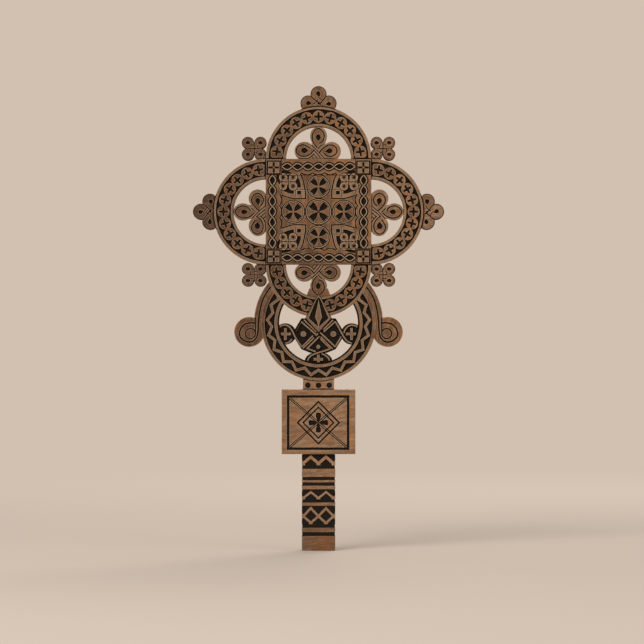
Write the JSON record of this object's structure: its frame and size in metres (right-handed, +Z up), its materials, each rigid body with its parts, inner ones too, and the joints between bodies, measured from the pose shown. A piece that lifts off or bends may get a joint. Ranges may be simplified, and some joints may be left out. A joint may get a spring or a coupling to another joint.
{
  "type": "wooden hand cross",
  "caption": "Flat openwork wooden hand cross with arches, interlace knots, a lower ring, a tablet and a straight handle.",
  "frame": {"origin": "middle of the handle's foot, halfway through its thickness", "axes": "+Z up along the handle to the head, +X to the right when the carved front is seen, -Y out of the front face"},
  "size_m": [0.1882, 0.02, 0.3484],
  "materials": {
    "carved_wood": "carved brown wood, hand worn, recesses blackened",
    "weathered_wood": "carved wood, darker and greyer from handling and smoke",
    "handle_wood": "lighter brown wood, smooth and slightly glossy from the hand, black carved bands",
    "blackened_wood": "charred black end grain, dull"
  },
  "bodies": {
    "root": {"arch_bottom": "carved_wood", "arch_left": "carved_wood", "arch_right": "carved_wood", "arch_top": "carved_wood", "centre_panel": "carved_wood", "corner_block_lower_left": "carved_wood", "corner_block_lower_right": "carved_wood", "corner_block_upper_left": "carved_wood", "corner_block_upper_right": "carved_wood", "corner_knot_lower_left": "weathered_wood", "corner_knot_lower_right": "weathered_wood", "corner_knot_upper_left": "weathered_wood", "corner_knot_upper_right": "weathered_wood", "finial_left": "weathered_wood", "finial_right": "weathered_wood", "finial_top": "weathered_wood", "handle": "handle_wood", "inner_knot_bottom": "carved_wood", "inner_knot_left": "carved_wood", "inner_knot_right": "carved_wood", "inner_knot_top": "carved_wood", "lower_ring": "carved_wood", "neck_block": "handle_wood", "neck_peg_centre": "blackened_wood", "neck_peg_left": "blackened_wood", "neck_peg_right": "blackened_wood", "rope_rail_bottom": "carved_wood", "rope_rail_left": "carved_wood", "rope_rail_right": "carved_wood", "rope_rail_top": "carved_wood", "scroll_arm_left": "carved_wood", "scroll_arm_right": "carved_wood", "spearhead": "carved_wood", "tablet": "handle_wood", "tablet_peg_lower": "handle_wood", "tablet_peg_upper": "handle_wood", "woven_lozenges": "carved_wood"}
  },
  "joints": []
}
